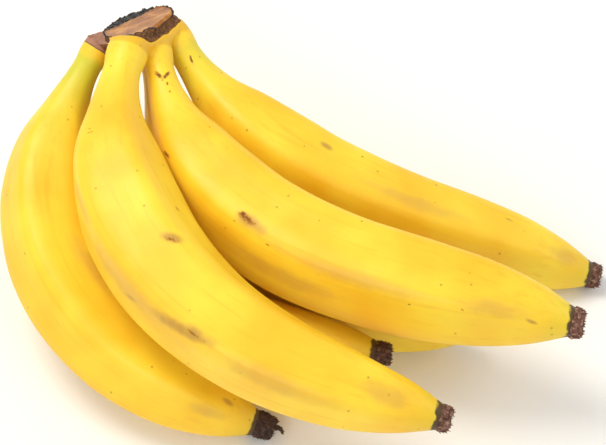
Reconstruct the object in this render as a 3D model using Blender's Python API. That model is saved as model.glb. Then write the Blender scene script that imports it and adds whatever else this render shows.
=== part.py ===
"""Bunch of six bananas on one cut crown, lying on its side on a table.

Two layers of fruit: bananas 1, 5, 6 and 4 lie on the table, and bananas 2 and 3 lie on top of
them. Every banana is a loft along a curved spine, from its narrow neck at the crown to its dried
flower end. Metres, +Z up; the origin is at the middle of the bunch's footprint, on the table.
"""

from collections import namedtuple
from math import cos, pi, radians, sin

import bmesh
import bpy
import numpy as np
from mathutils import Vector

MM = 0.001

# --- Driving dimensions, in millimetres and degrees -----------------------------------------
# heading: compass angle of the spine seen from above, from +X towards +Y, at the neck and tip.
# pitch: rise of the spine at the neck and from the belly on. bend_at: share of the length where
# the banana bends most. neck: radius at the crown as a share of girth, the belly's radius.
# slim: how much thinner the tip half is. flower: length of the dried flower end.
Banana = namedtuple(
    "Banana", "number start heading pitch bend_at length girth neck slim flower")
BANANAS = [
    Banana(1, (-74.7, 50.3, 67.5), (-127, -12.5), (-29, -16.6), 0.44, 177, 17.3, 0.29, 0.02, 7.0),
    Banana(2, (-62.8, 42.7, 75.3), (-104.5, -12.5), (-8.5, -11), 0.35, 198, 19.7, 0.34, 0.13, 4.0),
    Banana(3, (-53.0, 48.7, 68.5), (-81.0, -13.5), (-18, -2.5), 0.20, 193, 19.2, 0.27, 0.00, 4.0),
    Banana(4, (-46.6, 59.0, 63.2), (-54.5, -10), (-28, -14.4), 0.18, 181, 17.6, 0.32, 0.04, 4.0),
    Banana(5, (-67.5, 54.8, 56.8), (-116.5, -13), (-55.5, 6), 0.33, 183, 16.1, 0.30, 0.06, 5.0),
    Banana(6, (-56.0, 60.8, 54.1), (-75, -8.5), (-47, -2), 0.52, 172, 16.8, 0.30, 0.06, 4.0),
]

BEND_SPREAD = 0.62    # share of the length over which the heading turns, each side of bend_at
LEVEL_OUT = 0.55      # share of the length where the pitch reaches its second value

# Radius along a banana, from neck (0) to belly (1), then down to the blunt tip.
GIRTH_STATIONS = [
    (0.00, 0.00), (0.06, 0.03), (0.13, 0.26), (0.21, 0.70), (0.31, 0.95), (0.42, 1.00),
    (0.60, 0.985), (0.75, 0.93), (0.86, 0.78), (0.94, 0.54), (1.00, 0.27),
]
BELLY = 0.42          # share of the length where a banana is thickest
SLIM_FROM = 0.35      # where a slim banana starts to lose girth
SLIM_OVER = 0.50      # share of the length over which it loses it
SPINE_STEPS = 240     # straight steps that a spine is added up from

RIDGES = 5            # lengthwise ridges of the peel
RIDGE_DEPTH = 0.06    # how far the flats between ridges sink, as a share of the radius
RIDGE_TURN = 130      # angle of the first ridge from the banana's left side, towards its top
RIDGES_RISE = 0.30    # share of the length over which the ridges rise from the smooth neck
RIDGES_FADE = 0.15    # share of the length over which they fade out before the tip

SQUASH = 1.2          # how far the bottom fruit is pressed flat where it rests on the table
GAP = 0.3             # clearance between neighbouring pieces

RING_SIDES = 20
RING_COUNT = 28
END_CROWDING = 0.55   # 0 spaces the rings evenly, 1 crowds them towards both ends
FLOWER_SIDES = 12
FLOWER_STATIONS = [(0.0, 0.97), (0.25, 1.02), (0.6, 0.92), (0.88, 0.78), (1.0, 0.55)]
SMOOTH_ANGLE = 40     # edges sharper than this stay crisp

# Crown: the piece of stalk that the necks grow from, cut off with a knife.
CROWN_FACE_CENTRE = Vector((-60.5, 63.0, 68.8))
CROWN_FACE_NORMAL = Vector((-0.31, 0.51, 0.80)).normalized()
CROWN_FACE_LONG = Vector((0.942, 0.274, 0.192))
CROWN_FACE_HALF = (13.2, 12.0)   # half length and half width of the knife-cut face
CROWN_HEEL = [Vector((-79.0, 58.0, 66.0)), Vector((-77.5, 64.5, 58.5))]   # end of the second cut
CROWN_FACE_POINTS = 16
CROWN_LIP = 1.12                 # the skirt round each neck, as a multiple of the neck's radius
NECK_CLEARED = 0.16              # share of a banana's length that the crown keeps clear of
NECK_CUTTER_RINGS = 7

PEEL_YELLOW = (0.90, 0.66, 0.06)
CROWN_BROWN = (0.36, 0.19, 0.06)
FLOWER_BROWN = (0.07, 0.035, 0.02)
PEEL_ROUGHNESS = 0.45
CROWN_ROUGHNESS = 0.70
FLOWER_ROUGHNESS = 0.90


def ease(x):
    """0 to 1 with a soft start and a soft end."""
    x = np.clip(x, 0.0, 1.0)
    return x * x * (3.0 - 2.0 * x)


def smooth_through(stations, s):
    """A smooth curve through (place, value) stations, read at the places s."""
    place = np.array([station[0] for station in stations])
    value = np.array([station[1] for station in stations])
    slope = np.gradient(value, place)
    left = np.clip(np.searchsorted(place, s, side="right") - 1, 0, len(place) - 2)
    span = place[left + 1] - place[left]
    t = (s - place[left]) / span
    return ((1 + 2 * t) * (1 - t) ** 2 * value[left] + t * (1 - t) ** 2 * span * slope[left]
            + t * t * (3 - 2 * t) * value[left + 1] + t * t * (t - 1) * span * slope[left + 1])


def heading_share(s, bend_at):
    """Share of the whole turn done at s, gathered round bend_at."""
    low, high = bend_at - BEND_SPREAD, bend_at + BEND_SPREAD
    turned = ease((s - low) / (high - low))
    first = ease(np.array(-low / (high - low)))
    last = ease(np.array((1 - low) / (high - low)))
    return (turned - first) / (last - first)


def spine_of(banana, s):
    """Points, headings and pitches of a banana's spine at the shares s of its length."""
    fine = np.linspace(0.0, 1.0, SPINE_STEPS + 1)
    turn = heading_share(fine, banana.bend_at)
    heading = np.radians(banana.heading[0] + (banana.heading[1] - banana.heading[0]) * turn)
    drop = ease(fine / LEVEL_OUT)
    pitch = np.radians(banana.pitch[0] + (banana.pitch[1] - banana.pitch[0]) * drop)
    ahead = np.stack([np.cos(heading) * np.cos(pitch), np.sin(heading) * np.cos(pitch),
                      np.sin(pitch)], axis=1)
    step = banana.length / SPINE_STEPS
    walked = np.cumsum((ahead[1:] + ahead[:-1]) * 0.5 * step, axis=0)
    points = np.vstack([np.zeros(3), walked]) + np.array(banana.start)
    spine = np.stack([np.interp(s, fine, points[:, axis]) for axis in range(3)], axis=1)
    return spine, np.interp(s, fine, heading), np.interp(s, fine, pitch)


def girth_of(banana, s):
    """Radius of a banana at the shares s of its length, in millimetres."""
    body = smooth_through(GIRTH_STATIONS, s)
    share = np.where(s < BELLY, banana.neck + (1 - banana.neck) * body, body)
    return banana.girth * share * (1 - banana.slim * ease((s - SLIM_FROM) / SLIM_OVER))


def ring(centre, heading, pitch, radius, sides, ridge_depth=0.0):
    """Points of one cross-section, square to the spine."""
    side = Vector((-sin(heading), cos(heading), 0.0))
    ahead = Vector((cos(heading) * cos(pitch), sin(heading) * cos(pitch), sin(pitch)))
    upward = ahead.cross(side)
    points = []
    for k in range(sides):
        angle = 2 * pi * k / sides
        flat = 0.5 - 0.5 * cos(RIDGES * (angle - radians(RIDGE_TURN)))
        reach = radius * (1 - ridge_depth * flat)
        points.append(Vector(centre) + side * (reach * cos(angle)) + upward * (reach * sin(angle)))
    return points


def loft(name, rings, collection, colour, roughness):
    """A closed solid through rings of points with equal counts, capped at both ends."""
    mesh = bmesh.new()
    loops = [[mesh.verts.new(point * MM) for point in points] for points in rings]
    sides = len(loops[0])
    for first, second in zip(loops, loops[1:]):
        for k in range(sides):
            after = (k + 1) % sides
            mesh.faces.new((first[k], first[after], second[after], second[k]))
    mesh.faces.new(list(reversed(loops[0])))
    mesh.faces.new(loops[-1])
    bmesh.ops.recalc_face_normals(mesh, faces=mesh.faces)
    return finish(name, mesh, collection, colour, roughness)


def finish(name, mesh, collection, colour, roughness):
    """Turn a bmesh into a named object with its own material."""
    data = bpy.data.meshes.new(name)
    mesh.to_mesh(data)
    mesh.free()
    item = bpy.data.objects.new(name, data)
    collection.objects.link(item)
    if colour is not None:
        material = bpy.data.materials.new(name + "_material")
        material.use_nodes = True
        shader = material.node_tree.nodes["Principled BSDF"]
        shader.inputs["Base Color"].default_value = (*colour, 1.0)
        shader.inputs["Roughness"].default_value = roughness
        shader.inputs["Metallic"].default_value = 0.0
        data.materials.append(material)
        data.shade_smooth()
        data.set_sharp_from_angle(angle=radians(SMOOTH_ANGLE))
    return item


def press_on_table(points):
    """The underside of fruit that rests on the table is pressed flat."""
    return [Vector((point.x, point.y, max(point.z, SQUASH))) for point in points]


def make_banana(banana, collection):
    """One banana, neck to tip, with five soft ridges that fade out at both ends."""
    even = np.linspace(0.0, 1.0, RING_COUNT)
    s = END_CROWDING * (0.5 - 0.5 * np.cos(pi * even)) + (1 - END_CROWDING) * even
    spine, heading, pitch = spine_of(banana, s)
    girth = girth_of(banana, s)
    depth = RIDGE_DEPTH * ease(s / RIDGES_RISE) * ease((1 - s) / RIDGES_FADE)
    rings = [press_on_table(ring(spine[k], heading[k], pitch[k], girth[k], RING_SIDES, depth[k]))
             for k in range(RING_COUNT)]
    return loft(f"banana_{banana.number}", rings, collection, PEEL_YELLOW, PEEL_ROUGHNESS)


def make_flower_end(banana, collection):
    """The dried flower end: a short crumbling stub on the tip, a gap away from the peel."""
    spine, heading, pitch = spine_of(banana, np.array([1.0]))
    ahead = Vector((cos(heading[0]) * cos(pitch[0]), sin(heading[0]) * cos(pitch[0]),
                    sin(pitch[0])))
    tip = Vector(spine[0]) + ahead * GAP
    radius = girth_of(banana, np.array([1.0]))[0]
    rings = [ring(tip + ahead * (banana.flower * along), heading[0], pitch[0], radius * share,
                  FLOWER_SIDES) for along, share in FLOWER_STATIONS]
    name = f"blossom_end_{banana.number}"
    return loft(name, rings, collection, FLOWER_BROWN, FLOWER_ROUGHNESS)


def cut_face():
    """The rounded outline of the knife-cut face, on the crown's top."""
    normal = CROWN_FACE_NORMAL
    long_way = (CROWN_FACE_LONG - normal * CROWN_FACE_LONG.dot(normal)).normalized()
    wide_way = normal.cross(long_way)
    points = []
    for k in range(CROWN_FACE_POINTS):
        angle = 2 * pi * k / CROWN_FACE_POINTS
        along = long_way * (CROWN_FACE_HALF[0] * cos(angle))
        across = wide_way * (CROWN_FACE_HALF[1] * sin(angle))
        points.append(CROWN_FACE_CENTRE + along + across)
    return points


def make_crown(collection, cutters):
    """The cut stalk: a block between the knife face and the six necks, cleared round each neck."""
    mesh = bmesh.new()
    points = cut_face() + CROWN_HEEL
    for banana in BANANAS:
        spine, heading, pitch = spine_of(banana, np.array([0.0]))
        ahead = Vector((cos(heading[0]) * cos(pitch[0]), sin(heading[0]) * cos(pitch[0]),
                        sin(pitch[0])))
        radius = girth_of(banana, np.array([0.0]))[0] * CROWN_LIP
        points += ring(Vector(spine[0]) - ahead * GAP, heading[0], pitch[0], radius, FLOWER_SIDES)
    for point in points:
        mesh.verts.new(point * MM)
    hull = bmesh.ops.convex_hull(mesh, input=mesh.verts)
    loose = [item for item in hull["geom_interior"] + hull["geom_unused"]
             if isinstance(item, bmesh.types.BMVert)]
    bmesh.ops.delete(mesh, geom=list(set(loose)), context="VERTS")
    bmesh.ops.recalc_face_normals(mesh, faces=mesh.faces)
    crown = finish("crown", mesh, collection, CROWN_BROWN, CROWN_ROUGHNESS)

    for banana in BANANAS:
        s = np.linspace(0.0, NECK_CLEARED, NECK_CUTTER_RINGS)
        spine, heading, pitch = spine_of(banana, s)
        girth = girth_of(banana, s) + GAP
        ahead = Vector((cos(heading[0]) * cos(pitch[0]), sin(heading[0]) * cos(pitch[0]),
                        sin(pitch[0])))
        spine[0] = spine[0] - np.array(ahead) * GAP
        rings = [ring(spine[k], heading[k], pitch[k], girth[k], RING_SIDES) for k in range(len(s))]
        cutter = loft(f"neck_cutter_{banana.number}", rings, cutters, None, None)
        cutter.hide_render = True
        cutter.display_type = "WIRE"
        cut = crown.modifiers.new(f"clear_neck_{banana.number}", "BOOLEAN")
        cut.operation = "DIFFERENCE"
        cut.object = cutter
    return crown


def stand_on_table(pieces):
    """Move the origin to the middle of the footprint, on the table."""
    bpy.context.view_layer.update()
    graph = bpy.context.evaluated_depsgraph_get()
    corners = []
    for piece in pieces:
        mesh = piece.evaluated_get(graph).to_mesh()
        corners += [vertex.co.copy() for vertex in mesh.vertices]
    low = [min(corner[axis] for corner in corners) for axis in range(3)]
    high = [max(corner[axis] for corner in corners) for axis in range(3)]
    return Vector((-(low[0] + high[0]) / 2, -(low[1] + high[1]) / 2, -low[2]))


def main():
    for item in list(bpy.data.objects):
        bpy.data.objects.remove(item)
    bunch = bpy.data.collections.new("banana_bunch")
    cutters = bpy.data.collections.new("cutters")
    bpy.context.scene.collection.children.link(bunch)
    bpy.context.scene.collection.children.link(cutters)
    pieces = [make_banana(banana, bunch) for banana in BANANAS]
    pieces += [make_flower_end(banana, bunch) for banana in BANANAS]
    pieces.append(make_crown(bunch, cutters))
    shift = stand_on_table(pieces)
    for item in list(bunch.objects) + list(cutters.objects):
        item.location = shift


main()
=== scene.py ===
from collections import namedtuple
from math import cos, pi, radians, sin

import bmesh
import bpy
import numpy as np
from mathutils import Matrix, Vector, noise


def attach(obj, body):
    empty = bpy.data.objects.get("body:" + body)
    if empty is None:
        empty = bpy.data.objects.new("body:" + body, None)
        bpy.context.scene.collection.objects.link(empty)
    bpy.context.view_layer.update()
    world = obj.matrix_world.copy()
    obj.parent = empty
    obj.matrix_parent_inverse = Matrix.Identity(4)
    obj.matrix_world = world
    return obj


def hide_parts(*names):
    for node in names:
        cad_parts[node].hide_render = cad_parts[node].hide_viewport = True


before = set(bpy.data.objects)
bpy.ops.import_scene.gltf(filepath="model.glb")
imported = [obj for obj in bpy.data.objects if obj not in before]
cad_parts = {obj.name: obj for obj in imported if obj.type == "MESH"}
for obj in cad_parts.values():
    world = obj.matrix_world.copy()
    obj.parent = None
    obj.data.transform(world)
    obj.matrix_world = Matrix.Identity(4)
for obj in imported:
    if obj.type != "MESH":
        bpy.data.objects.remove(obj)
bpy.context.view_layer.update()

MM = 0.001

# --- The fruit, in millimetres and degrees, as the construction has it ------------------------
# start is where the neck leaves the crown. heading is the compass angle of the spine seen from
# above, at the neck and at the tip; pitch is its rise at the neck and from the belly on.
# bend_at: share of the length where the banana bends most. neck and slim shape its girth.
# flower: length of the dried flower end.
Banana = namedtuple(
    "Banana", "number start heading pitch bend_at length girth neck slim flower")
SHIFT = Vector((-1.121, 10.045, -1.2))   # from the crown's setting-out point to the footprint's middle
BANANAS = [
    Banana(1, (-74.7, 50.3, 67.5), (-127, -12.5), (-29, -16.6), 0.44, 177, 17.3, 0.29, 0.02, 7.0),
    Banana(2, (-62.8, 42.7, 75.3), (-104.5, -12.5), (-8.5, -11), 0.35, 198, 19.7, 0.34, 0.13, 4.0),
    Banana(3, (-53.0, 48.7, 68.5), (-81.0, -13.5), (-18, -2.5), 0.20, 193, 19.2, 0.27, 0.00, 4.0),
    Banana(4, (-46.6, 59.0, 63.2), (-54.5, -10), (-28, -14.4), 0.18, 181, 17.6, 0.32, 0.04, 4.0),
    Banana(5, (-67.5, 54.8, 56.8), (-116.5, -13), (-55.5, 6), 0.33, 183, 16.1, 0.30, 0.06, 5.0),
    Banana(6, (-56.0, 60.8, 54.1), (-75, -8.5), (-47, -2), 0.52, 172, 16.8, 0.30, 0.06, 4.0),
]
BEND_SPREAD = 0.62
LEVEL_OUT = 0.55
GIRTH_STATIONS = [
    (0.00, 0.00), (0.06, 0.03), (0.13, 0.26), (0.21, 0.70), (0.31, 0.95), (0.42, 1.00),
    (0.60, 0.985), (0.75, 0.93), (0.86, 0.78), (0.94, 0.54), (1.00, 0.27),
]
BELLY = 0.42
SLIM_FROM = 0.35
SLIM_OVER = 0.50
GAP = 0.3
RIDGES = 5
RIDGE_DEPTH = 0.115
RIDGE_TURN = radians(130)
RIDGE_TURNS = {1: 114, 2: 142, 3: 130, 4: 116, 5: 130, 6: 130}

PEEL_SIDES = 144      # faces round a banana, under 1 mm each
PEEL_RINGS = 340      # faces along it, about 0.6 mm each


# --- Colours ----------------------------------------------------------------------------------
def colour(hex_code):
    """sRGB hex to a linear colour with full alpha."""
    parts = [int(hex_code[k:k + 2], 16) / 255 for k in (0, 2, 4)]
    linear = [c / 12.92 if c <= 0.04045 else ((c + 0.055) / 1.055) ** 2.4 for c in parts]
    return (*linear, 1.0)


# --- Small tools ------------------------------------------------------------------------------
def add(tree, kind, sockets=None, **settings):
    """Add a node with its settings; sockets maps an input's name or number to a value or link."""
    node = tree.nodes.new(kind)
    for name, value in settings.items():
        setattr(node, name, value)
    for key, source in (sockets or {}).items():
        if isinstance(source, bpy.types.NodeSocket):
            tree.links.new(source, node.inputs[key])
        else:
            node.inputs[key].default_value = source
    return node


def ease(x):
    """0 to 1 with a soft start and a soft end."""
    x = np.clip(x, 0.0, 1.0)
    return x * x * (3.0 - 2.0 * x)


def smooth_through(stations, s):
    """A smooth curve through (place, value) stations, read at the places s."""
    place = np.array([station[0] for station in stations])
    value = np.array([station[1] for station in stations])
    slope = np.gradient(value, place)
    left = np.clip(np.searchsorted(place, s, side="right") - 1, 0, len(place) - 2)
    span = place[left + 1] - place[left]
    t = (s - place[left]) / span
    return ((1 + 2 * t) * (1 - t) ** 2 * value[left] + t * (1 - t) ** 2 * span * slope[left]
            + t * t * (3 - 2 * t) * value[left + 1] + t * t * (t - 1) * span * slope[left + 1])


def spine_of(banana, s):
    """Points in metres, headings and pitches of a banana's spine at the shares s of its length."""
    fine = np.linspace(0.0, 1.0, 241)
    low, high = banana.bend_at - BEND_SPREAD, banana.bend_at + BEND_SPREAD
    turned = ease((fine - low) / (high - low))
    turned = (turned - turned[0]) / (turned[-1] - turned[0])
    heading = np.radians(banana.heading[0] + (banana.heading[1] - banana.heading[0]) * turned)
    drop = ease(fine / LEVEL_OUT)
    pitch = np.radians(banana.pitch[0] + (banana.pitch[1] - banana.pitch[0]) * drop)
    ahead = np.stack([np.cos(heading) * np.cos(pitch), np.sin(heading) * np.cos(pitch),
                      np.sin(pitch)], axis=1)
    step = banana.length / (len(fine) - 1)
    walked = np.cumsum((ahead[1:] + ahead[:-1]) * 0.5 * step, axis=0)
    points = np.vstack([np.zeros(3), walked]) + np.array(banana.start) + np.array(SHIFT)
    spine = np.stack([np.interp(s, fine, points[:, axis]) for axis in range(3)], axis=1)
    return spine * MM, np.interp(s, fine, heading), np.interp(s, fine, pitch)


def girth_of(banana, s):
    """Radius of a banana in metres at the shares s of its length."""
    body = smooth_through(GIRTH_STATIONS, s)
    share = np.where(s < BELLY, banana.neck + (1 - banana.neck) * body, body)
    return banana.girth * MM * share * (1 - banana.slim * ease((s - SLIM_FROM) / SLIM_OVER))


def ahead_of(heading, pitch):
    return Vector((cos(heading) * cos(pitch), sin(heading) * cos(pitch), sin(pitch)))


def object_of(name, mesh, material=None):
    item = bpy.data.objects.new(name, mesh)
    bpy.context.scene.collection.objects.link(item)
    if material is not None:
        mesh.materials.clear()
        mesh.materials.append(material)
    return item


def baked(item, name):
    """A plain object from another's evaluated mesh; the maker object is removed."""
    bpy.context.view_layer.update()
    graph = bpy.context.evaluated_depsgraph_get()
    mesh = bpy.data.meshes.new_from_object(item.evaluated_get(graph))
    mesh.name = name
    bpy.data.objects.remove(item)
    return object_of(name, mesh)


def points_of(mesh):
    flat = np.empty(len(mesh.vertices) * 3, dtype=np.float32)
    mesh.vertices.foreach_get("co", flat)
    return flat.reshape(-1, 3).astype(np.float64)


def set_points(mesh, points):
    mesh.vertices.foreach_set("co", points.astype(np.float32).ravel())
    mesh.update()


def normals_of(mesh):
    flat = np.empty(len(mesh.vertices) * 3, dtype=np.float32)
    mesh.vertices.foreach_get("normal", flat)
    return flat.reshape(-1, 3).astype(np.float64)


def store(mesh, name, values):
    """Keep one number, or one vector, for each point of the mesh."""
    kind = "FLOAT" if values.ndim == 1 else "FLOAT_VECTOR"
    layer = mesh.attributes.get(name) or mesh.attributes.new(name, kind, "POINT")
    field = "value" if values.ndim == 1 else "vector"
    layer.data.foreach_set(field, values.astype(np.float32).ravel())


def faced_outwards(mesh):
    work = bmesh.new()
    work.from_mesh(mesh)
    bmesh.ops.recalc_face_normals(work, faces=work.faces)
    work.to_mesh(mesh)
    work.free()


def grain(points, size, seed, octaves=3):
    """Smooth random numbers from -1 to 1 over points in metres, with bumps of about size."""
    place = Vector((seed * 7.31, seed * 3.17, seed * 5.53))
    return np.array([noise.fractal(Vector(p / size) + place, 1.0, 2.0, octaves) for p in points])


# --- Materials --------------------------------------------------------------------------------
def mixed(tree, factor, below, above, blend="MIX"):
    """Colour above laid over colour below by factor."""
    node = add(tree, "ShaderNodeMix", data_type="RGBA", blend_type=blend, clamp_factor=True)
    for key, source in ((0, factor), (6, below), (7, above)):
        if isinstance(source, bpy.types.NodeSocket):
            tree.links.new(source, node.inputs[key])
        else:
            node.inputs[key].default_value = source
    return node.outputs[2]


def between(tree, value, low, high, top=1.0):
    """0 below low, top above high, with a soft step between."""
    node = add(tree, "ShaderNodeMapRange", {0: value, 1: low, 2: high, 3: 0.0, 4: top},
               interpolation_type="SMOOTHSTEP")
    return node.outputs[0]


def kept(tree, name):
    return add(tree, "ShaderNodeAttribute", attribute_name=name)


def peel_colour(tree, place, straight):
    """Ripe peel: warm yellow in soft patches, with lengthwise fibres and tan freckles."""
    patches = add(tree, "ShaderNodeTexNoise", {"Vector": place, "Scale": 38.0, "Detail": 2.0})
    ramp = add(tree, "ShaderNodeValToRGB", {0: patches.outputs["Fac"]})
    ramp.color_ramp.elements[0].position = 0.30
    ramp.color_ramp.elements[0].color = colour("F2BE22")
    ramp.color_ramp.elements[1].position = 0.72
    ramp.color_ramp.elements[1].color = colour("FBD93A")
    along = add(tree, "ShaderNodeMapping", {"Vector": straight, "Scale": (1.0, 1.0, 0.05)})
    fibres = add(tree, "ShaderNodeTexNoise",
                 {"Vector": along.outputs[0], "Scale": 520.0, "Detail": 3.0})
    fibre_tone = between(tree, fibres.outputs["Fac"], 0.50, 0.78, 0.30)
    tone = mixed(tree, fibre_tone, ramp.outputs[0], colour("E3A51E"))
    cells = add(tree, "ShaderNodeTexVoronoi", {"Vector": place, "Scale": 210.0})
    dots = add(tree, "ShaderNodeMath",
               {0: between(tree, cells.outputs["Distance"], 0.13, 0.07),
                1: between(tree, cells.outputs["Color"], 0.66, 0.70, 0.55)}, operation="MULTIPLY")
    return mixed(tree, dots.outputs[0], tone, colour("A06A1C")), fibres.outputs["Fac"]


def banana_peel():
    """Ripe banana peel: waxy skin over wet pith, so light sinks in a little and the shine is
    broad and soft. Green is left at the neck and tip, rubs and scars have dried brown, and tan
    patches on the down-facing lower facets of bananas 2 and 3 are painted shade."""
    material = bpy.data.materials.new("ripe banana peel")
    material.use_nodes = True
    tree = material.node_tree
    shader = tree.nodes["Principled BSDF"]
    place = add(tree, "ShaderNodeTexCoord").outputs["Object"]
    straight = kept(tree, "straight").outputs["Vector"]
    tone, fibres = peel_colour(tree, place, straight)
    mottle = add(tree, "ShaderNodeTexNoise", {"Vector": place, "Scale": 160.0, "Detail": 4.0})
    crumble = add(tree, "ShaderNodeTexNoise",
                  {"Vector": place, "Scale": 900.0, "Detail": 5.0, "Roughness": 0.65})

    def over(below, name, tint, low, high, top, spread):
        """Lay a tint where the kept mask, broken up by mottling, is strong enough."""
        broken = add(tree, "ShaderNodeMath", {0: mottle.outputs["Fac"], 1: 0.5},
                     operation="SUBTRACT")
        scaled = add(tree, "ShaderNodeMath", {0: broken.outputs[0], 1: spread},
                     operation="MULTIPLY")
        total = add(tree, "ShaderNodeMath", {0: kept(tree, name).outputs["Fac"],
                                             1: scaled.outputs[0]}, operation="ADD")
        return mixed(tree, between(tree, total.outputs[0], low, high, top), below, tint)

    tone = over(tone, "green", colour("BFC638"), 0.05, 1.0, 0.85, 0.25)
    # tan rub colour; on the down-facing lower facets of bananas 2 and 3 it is painted shade
    tone = over(tone, "rubbed_and_shade", colour("CC9C44"), 0.12, 1.15, 0.50, 0.9)
    tone = over(tone, "bruise", colour("A87838"), 0.15, 1.10, 0.72, 1.1)
    tone = over(tone, "tip", colour("3A2412"), 0.25, 0.80, 0.95, 0.55)
    edge = add(tree, "ShaderNodeMath", {0: crumble.outputs["Fac"], 1: 0.5}, operation="SUBTRACT")
    edge = add(tree, "ShaderNodeMath", {0: edge.outputs[0], 1: 1.6}, operation="MULTIPLY")
    scar = add(tree, "ShaderNodeMath", {0: kept(tree, "scar").outputs["Fac"], 1: edge.outputs[0]},
               operation="ADD")
    tone = mixed(tree, between(tree, scar.outputs[0], 0.30, 0.70, 0.75), tone, colour("B0741F"))
    tone = mixed(tree, between(tree, scar.outputs[0], 0.60, 1.00, 0.85), tone, colour("6A3A14"))
    tree.links.new(tone, shader.inputs["Base Color"])

    waxy = add(tree, "ShaderNodeMapRange", {0: mottle.outputs["Fac"], 3: 0.36, 4: 0.52})
    dull = add(tree, "ShaderNodeMath",
               {0: waxy.outputs[0], 1: between(tree, scar.outputs[0], 0.3, 0.7, 0.35)},
               operation="ADD")
    tree.links.new(dull.outputs[0], shader.inputs["Roughness"])
    shader.inputs["Subsurface Weight"].default_value = 0.12
    shader.inputs["Subsurface Radius"].default_value = (1.0, 0.55, 0.12)
    shader.inputs["Subsurface Scale"].default_value = 0.003
    shader.inputs["IOR"].default_value = 1.45
    pores = add(tree, "ShaderNodeBump", {"Strength": 0.25, "Distance": 0.0002,
                                         "Height": crumble.outputs["Fac"]})
    threads = add(tree, "ShaderNodeBump", {"Strength": 0.30, "Distance": 0.0002, "Height": fibres,
                                           "Normal": pores.outputs[0]})
    tree.links.new(threads.outputs[0], shader.inputs["Normal"])
    return material


def cut_crown():
    """Knife-cut banana stalk, dried for days: a waxy orange-brown face with fibre ends, a band of
    blackened latex and rough bark-like rind, over a skirt of yellow peel that joins the necks."""
    material = bpy.data.materials.new("cut banana crown")
    material.use_nodes = True
    tree = material.node_tree
    shader = tree.nodes["Principled BSDF"]
    place = add(tree, "ShaderNodeTexCoord").outputs["Object"]
    peel, _ = peel_colour(tree, place, place)
    amber = add(tree, "ShaderNodeMath", {0: kept(tree, "skirt").outputs["Fac"], 1: 0.5},
                operation="MULTIPLY")
    skirt = mixed(tree, amber.outputs[0], peel, colour("D99A12"))
    young = between(tree, kept(tree, "green").outputs["Fac"], 0.05, 1.0, 0.85)
    skirt = mixed(tree, young, skirt, colour("BFC638"))
    patches = add(tree, "ShaderNodeTexNoise", {"Vector": place, "Scale": 170.0, "Detail": 4.0})
    fine = add(tree, "ShaderNodeTexNoise",
               {"Vector": place, "Scale": 900.0, "Detail": 6.0, "Roughness": 0.7})
    pith = add(tree, "ShaderNodeValToRGB", {0: patches.outputs["Fac"]})
    pith.color_ramp.elements[0].position = 0.34
    pith.color_ramp.elements[0].color = colour("8A4A12")
    pith.color_ramp.elements[1].position = 0.66
    pith.color_ramp.elements[1].color = colour("C98A3C")
    olive = pith.color_ramp.elements.new(0.52)
    olive.color = colour("A8681E")
    heel = mixed(tree, fine.outputs["Fac"], colour("7C5036"), colour("C29078"))
    rind = mixed(tree, between(tree, fine.outputs["Fac"], 0.38, 0.66), colour("4A2A12"),
                 colour("8A5A2A"))
    tar = mixed(tree, between(tree, fine.outputs["Fac"], 0.50, 0.72), colour("1C1610"),
                colour("4E4A44"))

    def laid(below, name, above):
        crumb = add(tree, "ShaderNodeMath", {0: fine.outputs["Fac"], 1: 0.5},
                    operation="SUBTRACT")
        total = add(tree, "ShaderNodeMath", {0: kept(tree, name).outputs["Fac"],
                                             1: crumb.outputs[0]}, operation="ADD")
        return mixed(tree, between(tree, total.outputs[0], 0.35, 0.65), below, above)

    tone = laid(skirt, "band", rind)
    tone = laid(tone, "face", pith.outputs[0])
    tone = laid(tone, "heel", heel)
    tone = laid(tone, "latex", tar)
    # darkens the knife edge between the face and the heel, and the line where the heel meets the neck
    dark_heel_edging = between(tree, kept(tree, "heel_edge").outputs["Fac"], 0.35, 0.75, 0.8)
    tone = mixed(tree, dark_heel_edging, tone, colour("3A241A"))
    tree.links.new(tone, shader.inputs["Base Color"])
    dry = between(tree, kept(tree, "band").outputs["Fac"], 0.2, 0.8, 0.35)
    wet = between(tree, kept(tree, "face").outputs["Fac"], 0.4, 0.9, 0.45)
    dry = add(tree, "ShaderNodeMath", {0: dry, 1: wet}, operation="SUBTRACT")
    rough = add(tree, "ShaderNodeMath", {0: dry.outputs[0], 1: 0.42}, operation="ADD")
    tree.links.new(rough.outputs[0], shader.inputs["Roughness"])
    shader.inputs["IOR"].default_value = 1.45
    bump = add(tree, "ShaderNodeBump", {"Strength": 0.5, "Distance": 0.0003,
                                        "Height": fine.outputs["Fac"]})
    tree.links.new(bump.outputs[0], shader.inputs["Normal"])
    return material


def dried_flower():
    """Dried flower remains: brittle, fibrous, almost black-brown, with pale broken fibre ends."""
    material = bpy.data.materials.new("dried flower end")
    material.use_nodes = True
    tree = material.node_tree
    shader = tree.nodes["Principled BSDF"]
    place = add(tree, "ShaderNodeTexCoord").outputs["Object"]
    crumbs = add(tree, "ShaderNodeTexNoise",
                 {"Vector": place, "Scale": 700.0, "Detail": 6.0, "Roughness": 0.7})
    dark = kept(tree, "dark").outputs["Fac"]
    ramp = add(tree, "ShaderNodeValToRGB", {0: crumbs.outputs["Fac"]})
    ramp.color_ramp.elements[0].position = 0.36
    ramp.color_ramp.elements[0].color = colour("3A2119")
    ramp.color_ramp.elements[1].position = 0.68
    ramp.color_ramp.elements[1].color = colour("C8A284")
    middle = ramp.color_ramp.elements.new(0.52)
    middle.color = colour("7A5040")
    tone = mixed(tree, dark, ramp.outputs[0], colour("1E1411"))
    tree.links.new(tone, shader.inputs["Base Color"])
    shader.inputs["Roughness"].default_value = 0.85
    bump = add(tree, "ShaderNodeBump", {"Strength": 0.7, "Distance": 0.0004,
                                        "Height": crumbs.outputs["Fac"]})
    tree.links.new(bump.outputs[0], shader.inputs["Normal"])
    return material


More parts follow.
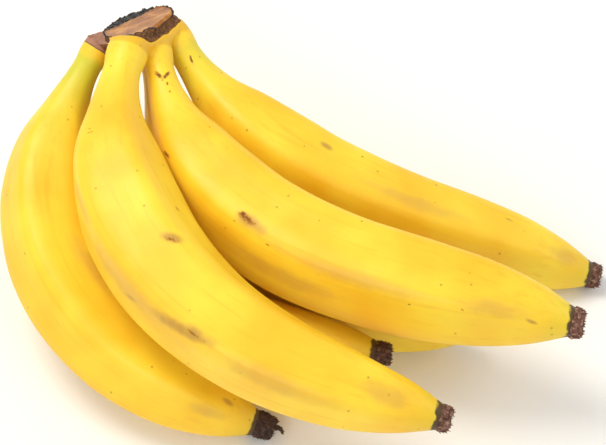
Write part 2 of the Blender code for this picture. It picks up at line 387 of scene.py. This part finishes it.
def studio_paper():
    """Seamless white paper: matt and plain."""
    material = bpy.data.materials.new("white backdrop paper")
    material.use_nodes = True
    shader = material.node_tree.nodes["Principled BSDF"]
    shader.inputs["Base Color"].default_value = colour("F4F3F0")
    shader.inputs["Roughness"].default_value = 0.95
    return material


# --- Geometry Nodes: peel swept along a spine -------------------------------------------------
def peel_sweep(material):
    """A tree that sweeps a ridged skin along a curve; the curve's radius is the fruit's."""
    tree = bpy.data.node_groups.new("peel_sweep", "GeometryNodeTree")
    face = tree.interface
    face.new_socket("Geometry", in_out="OUTPUT", socket_type="NodeSocketGeometry")
    face.new_socket("Geometry", in_out="INPUT", socket_type="NodeSocketGeometry")
    for name, kind, value in (("Sides", "NodeSocketInt", PEEL_SIDES),
                              ("Ridges", "NodeSocketFloat", float(RIDGES)),
                              ("Ridge depth", "NodeSocketFloat", RIDGE_DEPTH),
                              ("Ridge turn", "NodeSocketFloat", RIDGE_TURN),
                              ("Dent size", "NodeSocketFloat", 0.028),
                              ("Dent depth", "NodeSocketFloat", 0.03),
                              ("Seed", "NodeSocketFloat", 0.0)):
        socket = face.new_socket(name, in_out="INPUT", socket_type=kind)
        socket.default_value = value
    given = tree.nodes.new("NodeGroupInput").outputs

    level = add(tree, "GeometryNodeSetCurveNormal", {"Curve": given["Geometry"]}, mode="Z_UP")
    capture = tree.nodes.new("GeometryNodeCaptureAttribute")
    capture.domain = "POINT"
    for kind, name in (("VECTOR", "centre"), ("VECTOR", "ahead"), ("FLOAT", "along")):
        capture.capture_items.new(kind, name)
    tree.links.new(level.outputs[0], capture.inputs["Geometry"])
    tree.links.new(add(tree, "GeometryNodeInputPosition").outputs[0], capture.inputs["centre"])
    tree.links.new(add(tree, "GeometryNodeInputTangent").outputs[0], capture.inputs["ahead"])
    tree.links.new(add(tree, "GeometryNodeSplineParameter").outputs["Factor"],
                   capture.inputs["along"])
    section = add(tree, "GeometryNodeCurvePrimitiveCircle",
                  {"Resolution": given["Sides"], "Radius": 1.0}, mode="RADIUS")
    skin = add(tree, "GeometryNodeCurveToMesh",
               {"Curve": capture.outputs["Geometry"], "Profile Curve": section.outputs["Curve"],
                "Scale": add(tree, "GeometryNodeInputRadius").outputs[0], "Fill Caps": True})
    centre, ahead, along = (capture.outputs[name] for name in ("centre", "ahead", "along"))

    def vector(operation, first, second=None):
        sockets = {0: first} if second is None else {0: first, 1: second}
        return add(tree, "ShaderNodeVectorMath", sockets, operation=operation)

    def number(operation, first, second=None):
        sockets = {0: first} if second is None else {0: first, 1: second}
        return add(tree, "ShaderNodeMath", sockets, operation=operation).outputs[0]

    position = add(tree, "GeometryNodeInputPosition").outputs[0]
    reach = vector("SUBTRACT", position, centre).outputs[0]
    side = vector("NORMALIZE", vector("CROSS_PRODUCT", (0.0, 0.0, 1.0), ahead).outputs[0])
    upward = vector("CROSS_PRODUCT", ahead, side.outputs[0])
    angle = number("ARCTAN2", vector("DOT_PRODUCT", reach, upward.outputs[0]).outputs["Value"],
                   vector("DOT_PRODUCT", reach, side.outputs[0]).outputs["Value"])
    wave = number("COSINE", number("MULTIPLY", number("SUBTRACT", angle, given["Ridge turn"]),
                                   given["Ridges"]))
    flat = number("POWER", number("MAXIMUM", number("SUBTRACT", 0.5,
                                                    number("MULTIPLY", wave, 0.5)), 0.0), 0.75)
    rise = add(tree, "ShaderNodeMapRange", {0: along, 1: 0.0, 2: 0.3, 3: 0.0, 4: 1.0},
               interpolation_type="SMOOTHSTEP").outputs[0]
    fall = add(tree, "ShaderNodeMapRange", {0: along, 1: 1.0, 2: 0.85, 3: 0.0, 4: 1.0},
               interpolation_type="SMOOTHSTEP").outputs[0]
    faded = number("MULTIPLY", number("MULTIPLY", rise, fall), given["Ridge depth"])
    dents = add(tree, "ShaderNodeTexNoise",
                {"Vector": position, "W": given["Seed"], "Detail": 1.0,
                 "Scale": number("DIVIDE", 1.0, given["Dent size"])}, noise_dimensions="4D")
    dent = number("MULTIPLY", number("SUBTRACT", dents.outputs[0], 0.5),
                  number("MULTIPLY", given["Dent depth"], number("MULTIPLY", rise, fall)))
    scale = number("SUBTRACT", number("ADD", 1.0, dent), number("MULTIPLY", flat, faded))
    spread = add(tree, "ShaderNodeVectorMath", {0: reach, "Scale": scale}, operation="SCALE")
    moved = add(tree, "GeometryNodeSetPosition",
                {"Geometry": skin.outputs[0],
                 "Position": vector("ADD", centre, spread.outputs[0]).outputs[0]})
    along_kept = add(tree, "GeometryNodeStoreNamedAttribute",
                     {"Geometry": moved.outputs[0], "Name": "along", "Value": along},
                     data_type="FLOAT", domain="POINT")
    angle_kept = add(tree, "GeometryNodeStoreNamedAttribute",
                     {"Geometry": along_kept.outputs[0], "Name": "angle", "Value": angle},
                     data_type="FLOAT", domain="POINT")
    whole = add(tree, "GeometryNodeRealizeInstances", {"Geometry": angle_kept.outputs[0]})
    dressed = add(tree, "GeometryNodeSetMaterial",
                  {"Geometry": whole.outputs[0], "Material": material})
    add(tree, "NodeGroupOutput", {0: dressed.outputs[0]})
    return tree


def set_inputs(modifier, values):
    for item in modifier.node_group.interface.items_tree:
        if item.item_type == "SOCKET" and item.in_out == "INPUT" and item.name in values:
            modifier[item.identifier] = values[item.name]


# --- Marks on the peel ------------------------------------------------------------------------
# Each is (kind, share of the length, angle round the spine, half length, half width, turn):
# angles in degrees from the banana's left side towards its top, sizes in millimetres.
Mark = namedtuple("Mark", "kind along angle half_length half_width turn")
# The rubbed patches are tan rubs on the upper facets; those on bananas 2 and 3 past the ridge are
# painted shade on the down-facing lower facets.
MARKS = {
    1: [
        Mark("rubbed_and_shade", 0.52, 60, 16.0, 4.0, -4), Mark("bruise", 0.93, 95, 3.0, 1.6, 10),
        Mark("scar", 0.30, 20, 0.8, 0.4, 30), Mark("rubbed_and_shade", 0.90, 130, 8.0, 3.0, 0),
    ],
    2: [
        Mark("scar", 0.14, 112, 0.8, 0.5, -40), Mark("scar", 0.195, 120, 2.4, 0.35, -82),
        Mark("scar", 0.385, 44, 1.7, 0.9, -30), Mark("scar", 0.445, 82, 3.8, 0.8, -34),
        Mark("bruise", 0.445, 80, 5.0, 2.2, -34), Mark("bruise", 0.56, 144, 13.0, 3.2, -10),
        Mark("scar", 0.58, 140, 3.0, 0.8, 3), Mark("bruise", 0.58, 140, 5.0, 3.4, 0),
        # painted shade: these rubbed patches, and the one at 0.30, lie past the ridge on the
        # down-facing lower facet
        Mark("rubbed_and_shade", 0.45, 156, 22.0, 8.0, -7), Mark("rubbed_and_shade", 0.72, 146, 26.0, 5.0, 0),
        Mark("bruise", 0.47, 163, 3.2, 1.8, -35), Mark("rubbed_and_shade", 0.90, 110, 12.0, 5.0, 5),
        Mark("scar", 0.62, 60, 0.6, 0.4, 0), Mark("rubbed_and_shade", 0.30, 150, 12.0, 3.0, -8),
    ],
    3: [
        Mark("scar", 0.058, 104, 3.0, 1.0, -32), Mark("scar", 0.062, 78, 3.0, 0.9, 50),
        Mark("scar", 0.080, 84, 1.1, 0.6, 20), Mark("scar", 0.098, 86, 0.9, 0.6, 0),
        Mark("scar", 0.214, 141, 2.7, 1.0, -25), Mark("scar", 0.41, 123, 4.5, 1.2, 2),
        Mark("scar", 0.40, 122, 2.2, 1.7, -5), Mark("bruise", 0.42, 124, 8.0, 3.2, 2),
        Mark("scar", 0.458, 136, 2.6, 0.4, -10), Mark("scar", 0.825, 52, 0.9, 0.4, -40),
        Mark("scar", 0.805, 88, 0.7, 0.4, -16), Mark("scar", 0.80, 124, 0.6, 0.4, 0),
        Mark("scar", 0.807, 138, 0.6, 0.4, 0), Mark("scar", 0.716, 145, 0.6, 0.35, -33),
        # painted shade: the rubbed strips along and below the ridge darken the down-facing lower facet
        Mark("bruise", 0.93, 139, 3.0, 0.9, 14), Mark("rubbed_and_shade", 0.62, 132, 34.0, 3.6, 0),
        Mark("rubbed_and_shade", 0.86, 128, 16.0, 4.0, 0), Mark("rubbed_and_shade", 0.50, 165, 26.0, 5.0, 0),
    ],
    4: [
        Mark("scar", 0.056, 105, 2.6, 0.6, 18), Mark("bruise", 0.39, 72, 4.0, 2.0, 7),
        Mark("rubbed_and_shade", 0.60, 100, 24.0, 4.0, 0), Mark("scar", 0.47, 60, 0.7, 0.4, 10),
        Mark("rubbed_and_shade", 0.93, 100, 8.0, 5.0, 0), Mark("bruise", 0.80, 70, 2.0, 0.8, 0),
    ],
    5: [Mark("rubbed_and_shade", 0.70, 150, 20.0, 5.0, 0), Mark("bruise", 0.50, 200, 6.0, 3.0, 20)],
    6: [Mark("rubbed_and_shade", 0.75, 140, 20.0, 5.0, 0), Mark("bruise", 0.60, 250, 5.0, 3.0, -20)],
}


def marked(banana, kind, along, angle, girth):
    """How strongly each point of the peel carries marks of one kind, from 0 to 1."""
    strength = np.zeros(len(along))
    for mark in MARKS[banana.number]:
        if mark.kind != kind:
            continue
        far = (along - mark.along) * banana.length
        swing = (angle - radians(mark.angle) + pi) % (2 * pi) - pi
        wide = swing * girth / MM
        turn = radians(mark.turn)
        lengthwise = (far * cos(turn) + wide * sin(turn)) / mark.half_length
        crosswise = (wide * cos(turn) - far * sin(turn)) / mark.half_width
        away = np.sqrt(lengthwise ** 2 + crosswise ** 2)
        strength = np.maximum(strength, 1 - ease((away - 0.1) / 1.3))
    return strength


def make_banana(banana, sweep):
    """One banana: peel swept along its spine, pressed on the table, with its marks kept."""
    s = np.linspace(0.0, 1.0, PEEL_RINGS + 1)
    spine, _, _ = spine_of(banana, s)
    girth = girth_of(banana, s)
    data = bpy.data.curves.new(f"spine_{banana.number}", "CURVE")
    data.dimensions = "3D"
    spline = data.splines.new("POLY")
    spline.points.add(len(s) - 1)
    spline.points.foreach_set("co", np.hstack([spine, np.ones((len(s), 1))]).ravel())
    spline.points.foreach_set("radius", girth)
    path = bpy.data.objects.new(f"spine_{banana.number}", data)
    bpy.context.scene.collection.objects.link(path)
    modifier = path.modifiers.new("peel", "NODES")
    modifier.node_group = sweep
    set_inputs(modifier, {"Seed": banana.number * 4.7,
                          "Ridge turn": radians(RIDGE_TURNS[banana.number])})
    item = baked(path, f"peel_{banana.number}")
    mesh = item.data
    faced_outwards(mesh)

    points = points_of(mesh)
    along = np.empty(len(points), dtype=np.float32)
    angle = np.empty(len(points), dtype=np.float32)
    mesh.attributes["along"].data.foreach_get("value", along)
    mesh.attributes["angle"].data.foreach_get("value", angle)
    local = girth_of(banana, along)
    store(mesh, "straight", np.stack([np.cos(angle) * local, np.sin(angle) * local,
                                      along * banana.length * MM], axis=1))
    pressed = points[:, 2]
    soft = 0.6 * MM
    points[:, 2] = np.where(pressed > soft, pressed,
                            np.where(pressed < -soft, 0.0, (pressed + soft) ** 2 / (4 * soft)))
    set_points(mesh, points)

    neck_green = (1 - ease((along - 0.05) / 0.17)) * NECK_GREEN[banana.number]
    tip_green = ease((along - 0.91) / 0.08) * 0.38
    store(mesh, "green", np.maximum(neck_green, tip_green))
    ragged = grain(points, 0.004, banana.number)
    store(mesh, "tip", ease((along - 0.985 + 0.006 * ragged) / 0.012))
    for kind in ("scar", "bruise", "rubbed_and_shade"):
        store(mesh, kind, marked(banana, kind, along, angle, local))
    mesh.shade_smooth()
    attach(item, "root")
    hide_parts(f"banana_{banana.number}")
    return item


NECK_GREEN = {1: 0.75, 2: 0.15, 3: 0.1, 4: 0.5, 5: 0.5, 6: 0.3}


# --- Flower ends ------------------------------------------------------------------------------
def dried_fibres(material):
    """A tree that scatters short stiff fibres over a stub, leaning the way the stub points."""
    tree = bpy.data.node_groups.new("dried_fibres", "GeometryNodeTree")
    face = tree.interface
    face.new_socket("Geometry", in_out="OUTPUT", socket_type="NodeSocketGeometry")
    face.new_socket("Geometry", in_out="INPUT", socket_type="NodeSocketGeometry")
    for name, kind, value in (("Spacing", "NodeSocketFloat", 0.7 * MM),
                              ("Fibre length", "NodeSocketFloat", 1.0 * MM),
                              ("Fibre radius", "NodeSocketFloat", 0.26 * MM),
                              ("Direction", "NodeSocketVector", (1.0, 0.0, 0.0)),
                              ("Seed", "NodeSocketInt", 1)):
        socket = face.new_socket(name, in_out="INPUT", socket_type=kind)
        socket.default_value = value
    given = tree.nodes.new("NodeGroupInput").outputs
    spots = add(tree, "GeometryNodeDistributePointsOnFaces",
                {"Mesh": given["Geometry"], "Distance Min": given["Spacing"],
                 "Density Max": 3.0e6, "Seed": given["Seed"]}, distribute_method="POISSON")
    lean = add(tree, "ShaderNodeVectorMath", {0: given["Direction"], "Scale": 2.4},
               operation="SCALE")
    jitter = add(tree, "FunctionNodeRandomValue",
                 {0: (-0.6, -0.6, -0.6), 1: (0.6, 0.6, 0.6), "Seed": given["Seed"]},
                 data_type="FLOAT_VECTOR")
    tilt = add(tree, "ShaderNodeVectorMath", {0: lean.outputs[0], 1: spots.outputs["Normal"]},
               operation="ADD")
    tilt = add(tree, "ShaderNodeVectorMath", {0: tilt.outputs[0], 1: jitter.outputs[0]},
               operation="ADD")
    turn = add(tree, "FunctionNodeAlignRotationToVector", {"Vector": tilt.outputs[0]}, axis="Z")
    fibre = add(tree, "GeometryNodeMeshCone",
                {"Vertices": 6, "Side Segments": 2, "Radius Top": 0.05 * MM,
                 "Radius Bottom": given["Fibre radius"], "Depth": given["Fibre length"]})
    size = add(tree, "FunctionNodeRandomValue", {2: 0.35, 3: 1.0, "Seed": given["Seed"]},
               data_type="FLOAT")
    copies = add(tree, "GeometryNodeInstanceOnPoints",
                 {"Points": spots.outputs["Points"], "Instance": fibre.outputs["Mesh"],
                  "Rotation": turn.outputs[0], "Scale": size.outputs[1]})
    joined = add(tree, "GeometryNodeJoinGeometry", {0: copies.outputs[0]})
    tree.links.new(given["Geometry"], joined.inputs[0])
    whole = add(tree, "GeometryNodeRealizeInstances", {"Geometry": joined.outputs[0]})
    dressed = add(tree, "GeometryNodeSetMaterial",
                  {"Geometry": whole.outputs[0], "Material": material})
    add(tree, "NodeGroupOutput", {0: dressed.outputs[0]})
    return tree


def make_flower_end(banana, material, fibres):
    """The dried flower end: a blunt fibrous stub, torn and crumbling at its face."""
    spine, heading, pitch = spine_of(banana, np.array([1.0]))
    ahead = ahead_of(heading[0], pitch[0])
    side = Vector((-sin(heading[0]), cos(heading[0]), 0.0))
    upward = ahead.cross(side)
    radius = girth_of(banana, np.array([1.0]))[0]
    length = banana.flower * MM
    rings = 26
    sides = 72
    profile = [(0.0, 0.93), (0.12, 1.0), (0.35, 1.02), (0.7, 0.95), (0.92, 0.86), (1.0, 0.74)]
    mesh = bmesh.new()
    loops = []
    for ring in range(rings):
        t = ring / (rings - 1)
        reach = float(smooth_through(profile, np.array([t]))[0]) * radius
        loop = []
        for k in range(sides):
            angle = 2 * pi * k / sides
            out = side * cos(angle) + upward * sin(angle)
            fibre = noise.noise(out * 5.0 + Vector((banana.number * 9.1, 0.0, t * 0.6)))
            crumb = noise.noise((out * 2.2 + Vector((0, 0, banana.number))) * 3.0 + ahead * t * 4)
            grow = 1 + 0.10 * fibre + 0.08 * crumb
            torn = 0.22 * noise.noise(out * 4.0 + Vector((0, 0, banana.number * 3.3))) * t
            point = (Vector(spine[0]) - ahead * 0.4 * MM + out * (reach * grow)
                     + ahead * (length + 0.4 * MM) * (t + torn))
            loop.append(mesh.verts.new(point))
        loops.append(loop)
    face_rings = 9
    for ring in range(1, face_rings):
        t = 1 - ring / face_rings
        loop = []
        for k in range(sides):
            rim = loops[rings - 1][k].co
            centre = Vector(spine[0]) + ahead * length * 0.82
            point = centre.lerp(rim, t)
            rough = noise.fractal(point * 900.0, 1.0, 2.0, 3)
            loop.append(mesh.verts.new(point + ahead * (0.55 * MM * rough)))
        loops.append(loop)
    for first, second in zip(loops, loops[1:]):
        for k in range(sides):
            after = (k + 1) % sides
            mesh.faces.new((first[k], first[after], second[after], second[k]))
    mesh.faces.new(list(reversed(loops[0])))
    mesh.faces.new(loops[-1])
    if banana.number == CURLED_ON:
        place = Vector(spine[0]) + ahead * (length * 0.75) + upward * (radius * 0.3)
        path, lean = [], []
        for k in range(10):
            lean.append(radians(20 - 14 * k))
            path.append(place.copy())
            place += ahead_of(heading[0], lean[-1]) * (0.75 * MM)
        thick = np.linspace(1.0, 0.55, len(path)) * MM
        tube_into(mesh, path, [heading[0]] * len(path), lean, thick, 16)
    bmesh.ops.recalc_face_normals(mesh, faces=mesh.faces)
    data = bpy.data.meshes.new(f"flower_end_{banana.number}")
    mesh.to_mesh(data)
    mesh.free()
    data.shade_smooth()
    maker = object_of(f"flower_stub_{banana.number}", data, material)
    modifier = maker.modifiers.new("fibres", "NODES")
    modifier.node_group = fibres
    set_inputs(modifier, {"Seed": banana.number, "Direction": tuple(ahead)})
    item = baked(maker, f"flower_end_{banana.number}")
    points = points_of(item.data)
    points[:, 2] = np.maximum(points[:, 2], 0.0)
    set_points(item.data, points)
    store(item.data, "dark", np.full(len(item.data.vertices), FLOWER_DARK[banana.number]))
    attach(item, "root")
    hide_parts(f"blossom_end_{banana.number}")
    return item


CURLED_ON = 1         # the banana that still carries a curled bit of its flower
FLOWER_DARK = {1: 0.75, 2: 0.15, 3: 0.0, 4: 0.15, 5: 0.5, 6: 0.4}


# --- Crown ------------------------------------------------------------------------------------
FACE_CENTRE = Vector((-60.5, 63.0, 68.8)) + SHIFT
FACE_NORMAL = Vector((-0.31, 0.51, 0.80)).normalized()
FACE_LONG = Vector((0.942, 0.274, 0.192))
FACE_HALF = (13.2, 12.0)
FACE_DROP = 2.2       # how far the dried face sags over the necks at its front
HEEL = [Vector((-79.0, 58.0, 66.0)) + SHIFT, Vector((-77.5, 64.5, 58.5)) + SHIFT]


def tube_into(mesh, spine, heading, pitch, girth, sides=32):
    loops = []
    for k in range(len(spine)):
        ahead = ahead_of(heading[k], pitch[k])
        side = Vector((-sin(heading[k]), cos(heading[k]), 0.0))
        upward = ahead.cross(side)
        loops.append([mesh.verts.new(Vector(spine[k]) + side * girth[k] * cos(2 * pi * j / sides)
                                     + upward * girth[k] * sin(2 * pi * j / sides))
                      for j in range(sides)])
    for first, second in zip(loops, loops[1:]):
        for j in range(sides):
            after = (j + 1) % sides
            mesh.faces.new((first[j], first[after], second[after], second[j]))
    mesh.faces.new(list(reversed(loops[0])))
    mesh.faces.new(loops[-1])


def make_crown(material):
    """The cut stalk with its skirt of peel running down on to each neck."""
    long_way = (FACE_LONG - FACE_NORMAL * FACE_LONG.dot(FACE_NORMAL)).normalized()
    wide_way = FACE_NORMAL.cross(long_way)
    block = bmesh.new()
    corners = list(HEEL)
    for k in range(24):
        angle = 2 * pi * k / 24
        corners.append(FACE_CENTRE + long_way * (FACE_HALF[0] * cos(angle))
                       + wide_way * (FACE_HALF[1] * sin(angle)))
    verts = [block.verts.new(corner * MM) for corner in corners]
    for banana in BANANAS:
        spine, heading, pitch = spine_of(banana, np.array([0.0]))
        ahead = ahead_of(heading[0], pitch[0])
        side = Vector((-sin(heading[0]), cos(heading[0]), 0.0))
        upward = ahead.cross(side)
        radius = girth_of(banana, np.array([0.0]))[0] * 1.1
        for k in range(16):
            angle = 2 * pi * k / 16
            verts.append(block.verts.new(Vector(spine[0]) - ahead * 2.0 * MM
                                         + (side * cos(angle) + upward * sin(angle)) * radius))
    hull = bmesh.ops.convex_hull(block, input=verts)
    spare = [v for v in hull["geom_interior"] + hull["geom_unused"]
             if isinstance(v, bmesh.types.BMVert)]
    bmesh.ops.delete(block, geom=list(set(spare)), context="VERTS")
    for banana in BANANAS:
        s = np.linspace(0.0, 0.05, 9)
        spine, heading, pitch = spine_of(banana, s)
        girth = girth_of(banana, s) * np.interp(s, [0.0, 0.015, 0.05], [1.12, 1.10, 0.93])
        back = Vector(spine[0]) - ahead_of(heading[0], pitch[0]) * 2.5 * MM
        spine = np.vstack([np.array(back), spine])
        heading = np.concatenate([heading[:1], heading])
        pitch = np.concatenate([pitch[:1], pitch])
        girth = np.concatenate([girth[:1] * 0.95, girth])
        tube_into(block, spine, heading, pitch, girth)
    bmesh.ops.recalc_face_normals(block, faces=block.faces)
    data = bpy.data.meshes.new("crown_block")
    block.to_mesh(data)
    block.free()
    maker = object_of("crown_block", data)
    remesh = maker.modifiers.new("grown_together", "REMESH")
    remesh.mode = "VOXEL"
    remesh.voxel_size = 0.4 * MM
    soften = maker.modifiers.new("soften", "SMOOTH")
    soften.factor = 0.5
    soften.iterations = 6
    item = baked(maker, "crown_cut")
    mesh = item.data
    mesh.materials.clear()
    mesh.materials.append(material)

    points = points_of(mesh)
    normals = normals_of(mesh)
    away = points / MM - np.array(FACE_CENTRE)
    height = away @ np.array(FACE_NORMAL)
    e = away @ np.array(long_way)
    w = away @ np.array(wide_way)
    wobble = grain(points, 0.006, 3)
    fine = grain(points, 0.0012, 5, 4)
    facing = normals @ np.array(FACE_NORMAL)
    reach = np.sqrt((e / FACE_HALF[0]) ** 2 + ((w + FACE_DROP) / (FACE_HALF[1] + FACE_DROP)) ** 2)
    proud = np.maximum(height, 0.0) * (reach < 1.4)
    points = points - proud[:, None] * MM * np.array(FACE_NORMAL)
    on_neck = np.zeros(len(points))
    green = np.zeros(len(points))
    for banana in BANANAS:
        spine, heading, pitch = spine_of(banana, np.array([0.0]))
        ahead = np.array(ahead_of(heading[0], pitch[0]))
        from_start = (points - spine[0]) / MM
        beyond = from_start @ ahead
        off_axis = np.linalg.norm(from_start - beyond[:, None] * ahead, axis=1)
        ring = girth_of(banana, np.array([0.0]))[0] / MM
        near = ease((1.55 * ring - off_axis) / (0.3 * ring)) * ease((beyond + 0.8) / 1.4)
        on_neck = np.maximum(on_neck, near)
        green = np.maximum(green, near * ease(beyond / 6.0) * NECK_GREEN[banana.number])
    face = ease((height + 1.6) / 0.8) * ease((1.02 + 0.03 * wobble - reach) / 0.05)
    from_edge = np.sqrt((np.maximum(reach - 1, 0) * FACE_HALF[1]) ** 2
                        + np.minimum(height + 0.5, 0) ** 2)
    clear = 1 - on_neck * ease((from_edge - 3.7) / 0.7)
    band = (1 - ease((from_edge - 4.2 - 0.8 * wobble) / 0.9)) * clear
    latex_edge = w / FACE_HALF[1] - 0.38 - 0.40 * (e / FACE_HALF[0]) + 0.22 * wobble
    latex = face * ease(latex_edge / 0.12)
    rim = np.exp(-((reach - 0.99 + 0.02 * wobble) / 0.035) ** 2) * ease((height + 2.5) / 1.0)
    heel = ease((-e - 12.4) / 1.0) * (1 - on_neck) * (1 - face)
    store(mesh, "face", face)
    store(mesh, "band", np.maximum(band, heel))
    store(mesh, "heel", heel)
    store(mesh, "latex", np.maximum(latex, 0.85 * rim))
    store(mesh, "green", green)
    cut_line = np.exp(-((e + 12.6 + 0.3 * wobble) / 0.45) ** 2)
    heel_rim = np.exp(-((on_neck - 0.35) / 0.22) ** 2) * ease((-e - 12.4) / 1.0)
    store(mesh, "heel_edge", np.maximum(cut_line * band * (1 - face), heel_rim))
    store(mesh, "skirt", np.clip(1.0 - on_neck * 1.2, 0.0, 1.0))
    push = 0.30 * fine * band * (1 - face) + 0.14 * fine * face + 0.45 * rim * (0.6 + fine)
    push = push - 0.9 * band * (1 - face) * ease((from_edge - 0.4) / 1.0)
    push = push + 0.35 * latex * fine - 0.5 * face * (1 - reach ** 2) + 0.15 * wobble * band
    set_points(mesh, points + normals * (push * MM)[:, None])
    mesh.shade_smooth()
    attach(item, "root")
    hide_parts("crown")
    return item


# --- Stage ------------------------------------------------------------------------------------
def make_stage():
    mesh = bpy.data.meshes.new("backdrop")
    half = 3.0
    mesh.from_pydata([(-half, -half, 0), (half, -half, 0), (half, half, 0), (-half, half, 0)],
                     [], [(0, 1, 2, 3)])
    floor = object_of("backdrop", mesh, studio_paper())


def make_light(name, place, aim, size, power, tint="FFFFFF"):
    data = bpy.data.lights.new(name, "AREA")
    data.shape = "DISK"
    data.size = size
    data.energy = power
    data.color = colour(tint)[:3]
    lamp = bpy.data.objects.new(name, data)
    bpy.context.scene.collection.objects.link(lamp)
    lamp.location = place
    lamp.rotation_euler = (Vector(aim) - Vector(place)).to_track_quat("-Z", "Y").to_euler()


CAMERA_RISE = radians(55)
CAMERA_DISTANCE = 0.8
CAMERA_AIM = (Vector((0.0, 0.0, 30.0)) + SHIFT) * MM
PIXELS_PER_MM = 2.75
FRAME_WIDTH = 606


def make_camera():
    data = bpy.data.cameras.new("camera")
    data.sensor_width = 36.0
    data.lens = PIXELS_PER_MM * 1000 * CAMERA_DISTANCE * data.sensor_width / FRAME_WIDTH
    data.clip_start = 0.05
    camera = bpy.data.objects.new("camera", data)
    bpy.context.scene.collection.objects.link(camera)
    view = Vector((0.0, cos(CAMERA_RISE), -sin(CAMERA_RISE)))
    camera.location = CAMERA_AIM - view * CAMERA_DISTANCE
    camera.rotation_euler = view.to_track_quat("-Z", "Y").to_euler()
    bpy.context.scene.camera = camera


def make_light_room():
    world = bpy.data.worlds.new("soft room")
    bpy.context.scene.world = world
    world.use_nodes = True
    sky = world.node_tree.nodes["Background"]
    sky.inputs["Color"].default_value = colour("FFFFFF")
    sky.inputs["Strength"].default_value = 0.68
    make_light("key", (-0.45, 0.25, 1.1), (0.0, 0.0, 0.04), 0.6, 7.6, "FFFBF2")
    make_light("front", (-0.3, -1.0, 0.8), (0.0, 0.0, 0.03), 0.7, 3.5)
    make_light("right", (1.1, 0.1, 0.6), (0.0, 0.0, 0.03), 0.7, 1.5)


def main():
    bpy.context.scene.view_settings.view_transform = "Standard"
    make_camera()
    make_light_room()
    make_stage()
    sweep = peel_sweep(banana_peel())
    for banana in BANANAS:
        make_banana(banana, sweep)
    flower = dried_flower()
    fibres = dried_fibres(flower)
    for banana in BANANAS:
        make_flower_end(banana, flower, fibres)
    make_crown(cut_crown())


main()
